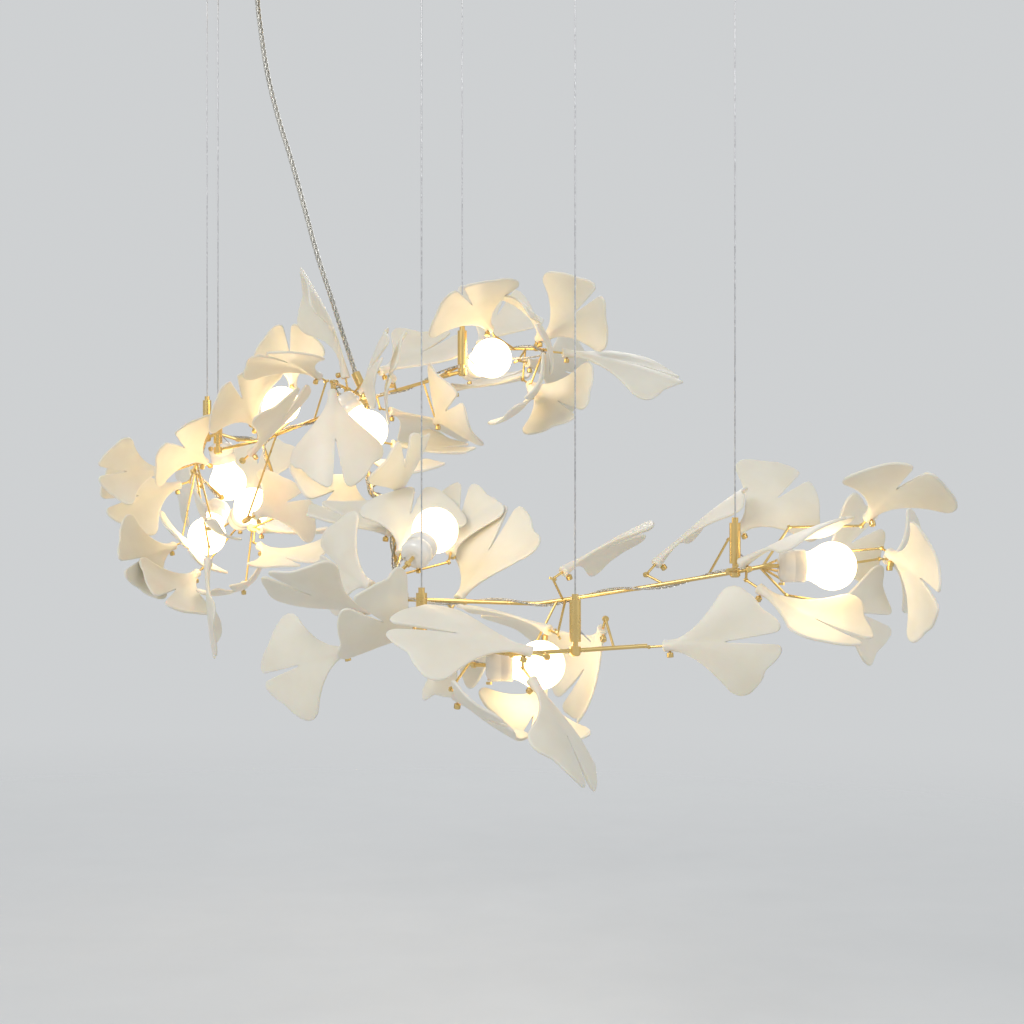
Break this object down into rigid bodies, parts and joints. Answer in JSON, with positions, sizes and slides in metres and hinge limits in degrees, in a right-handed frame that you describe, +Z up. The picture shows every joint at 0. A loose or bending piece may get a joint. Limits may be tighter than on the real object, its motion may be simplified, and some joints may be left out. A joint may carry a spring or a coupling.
{
  "type": "ceramic chandelier",
  "caption": "Wide hanging light of bent brass rods with notched porcelain fan leaves and frosted globe bulbs, held by thin steel wires.",
  "frame": {"origin": "centre of the ceiling rose's bracket, on the ceiling", "axes": "+Z up, +X to the viewer's right along the long side, +Y away from the viewer"},
  "size_m": [0.9089, 0.8965, 0.9063],
  "materials": {
    "porcelain": "glazed porcelain",
    "porcelain_white": "glazed porcelain",
    "brushed_brass": "brushed",
    "steel_wire": "braided",
    "clear_cord": "clear sheath over twisted tinned cores",
    "frosted_glass": "frosted, lit",
    "white_plastic": "moulded",
    "zinc_steel": "zinc plated"
  },
  "bodies": {
    "ceiling": {"ceiling_rose": "brushed_brass", "rose_bracket": "zinc_steel", "rose_screws": "brushed_brass", "terminal_block": "white_plastic", "cord_grip": "white_plastic", "power_cord": "clear_cord", "wire_anchors": "brushed_brass", "wire_1": "steel_wire", "wire_2": "steel_wire", "wire_3": "steel_wire", "wire_4": "steel_wire", "wire_5": "steel_wire", "wire_6": "steel_wire"},
    "branches": {"gripper_1": "brushed_brass", "gripper_2": "brushed_brass", "gripper_3": "brushed_brass", "gripper_4": "brushed_brass", "gripper_5": "brushed_brass", "gripper_6": "brushed_brass", "main_arm": "brushed_brass", "near_arm": "brushed_brass", "low_arm": "brushed_brass", "far_arm": "brushed_brass", "left_arm": "brushed_brass", "lampholders": "porcelain_white", "holder_screws": "brushed_brass", "bulbs": "frosted_glass", "lamp_leads": "clear_cord", "leaf_screws": "brushed_brass", "leaf_r8": "porcelain", "leaf_b1": "porcelain", "leaf_c3": "porcelain", "leaf_t1": "porcelain", "leaf_t4": "porcelain", "leaf_l15": "porcelain", "right_leaves": "porcelain", "low_leaves": "porcelain", "centre_leaves": "porcelain", "top_leaves": "porcelain", "left_leaves": "porcelain"},
    "release_1": {"nozzle_1": "brushed_brass"},
    "release_2": {"nozzle_2": "brushed_brass"},
    "release_3": {"nozzle_3": "brushed_brass"},
    "release_4": {"nozzle_4": "brushed_brass"},
    "release_5": {"nozzle_5": "brushed_brass"},
    "release_6": {"nozzle_6": "brushed_brass"},
    "turn_r1": {"leaf_r1": "porcelain", "screw_r1": "brushed_brass"},
    "turn_r7": {"leaf_r7": "porcelain", "screw_r7": "brushed_brass"},
    "turn_b2": {"leaf_b2": "porcelain", "screw_b2": "brushed_brass"},
    "turn_c5": {"leaf_c5": "porcelain", "screw_c5": "brushed_brass"},
    "turn_c6": {"leaf_c6": "porcelain", "screw_c6": "brushed_brass"},
    "turn_t5": {"leaf_t5": "porcelain", "screw_t5": "brushed_brass"},
    "turn_l7": {"leaf_l7": "porcelain", "screw_l7": "brushed_brass"}
  },
  "joints": [
    {"name": "hang_height", "type": "slide", "parent": "ceiling", "child": "branches", "axis": [0, 0, 1], "range_m": [0, 0.1], "deforming": ["wire_1", "wire_2", "wire_3", "wire_4", "wire_5", "wire_6", "power_cord"]},
    {"name": "release_press_1", "type": "slide", "parent": "branches", "child": "release_1", "axis": [0, 0, -1], "range_m": [0, 0.0025], "stiffness_N_per_m": 400, "springref_m": -0.001},
    {"name": "release_press_2", "type": "slide", "parent": "branches", "child": "release_2", "axis": [0, 0, -1], "range_m": [0, 0.0025], "stiffness_N_per_m": 400, "springref_m": -0.001},
    {"name": "release_press_3", "type": "slide", "parent": "branches", "child": "release_3", "axis": [0, 0, -1], "range_m": [0, 0.0025], "stiffness_N_per_m": 400, "springref_m": -0.001},
    {"name": "release_press_4", "type": "slide", "parent": "branches", "child": "release_4", "axis": [0, 0, -1], "range_m": [0, 0.0025], "stiffness_N_per_m": 400, "springref_m": -0.001},
    {"name": "release_press_5", "type": "slide", "parent": "branches", "child": "release_5", "axis": [0, 0, -1], "range_m": [0, 0.0025], "stiffness_N_per_m": 400, "springref_m": -0.001},
    {"name": "release_press_6", "type": "slide", "parent": "branches", "child": "release_6", "axis": [0, 0, -1], "range_m": [0, 0.0025], "stiffness_N_per_m": 400, "springref_m": -0.001},
    {"name": "turn_r1", "type": "hinge", "parent": "branches", "child": "turn_r1", "pos_m": [0.63, -0.495, -0.671], "axis": [0.2686, -0.8295, 0.4898], "range_deg": [-30, 30]},
    {"name": "turn_r7", "type": "hinge", "parent": "branches", "child": "turn_r7", "pos_m": [0.438, -0.53, -0.787], "axis": [0.9223, -0.3773, 0.0838], "range_deg": [-30, 30]},
    {"name": "turn_b2", "type": "hinge", "parent": "branches", "child": "turn_b2", "pos_m": [0.317, -0.57, -0.814], "axis": [0.5209, -0.5041, -0.6889], "range_deg": [-30, 30]},
    {"name": "turn_c5", "type": "hinge", "parent": "branches", "child": "turn_c5", "pos_m": [0.164, -0.43, -0.759], "axis": [-0.8604, -0.4732, 0.1893], "range_deg": [-30, 30]},
    {"name": "turn_c6", "type": "hinge", "parent": "branches", "child": "turn_c6", "pos_m": [0.144, -0.42, -0.797], "axis": [-0.8532, 0.4353, -0.2873], "range_deg": [-30, 30]},
    {"name": "turn_t5", "type": "hinge", "parent": "branches", "child": "turn_t5", "pos_m": [0.357, -0.088, -0.485], "axis": [0.9883, 0.1313, -0.0772], "range_deg": [-24, 30]},
    {"name": "turn_l7", "type": "hinge", "parent": "branches", "child": "turn_l7", "pos_m": [-0.124, 0.08, -0.615], "axis": [-0.8385, -0.5445, -0.0218], "range_deg": [-30, 30]}
  ]
}
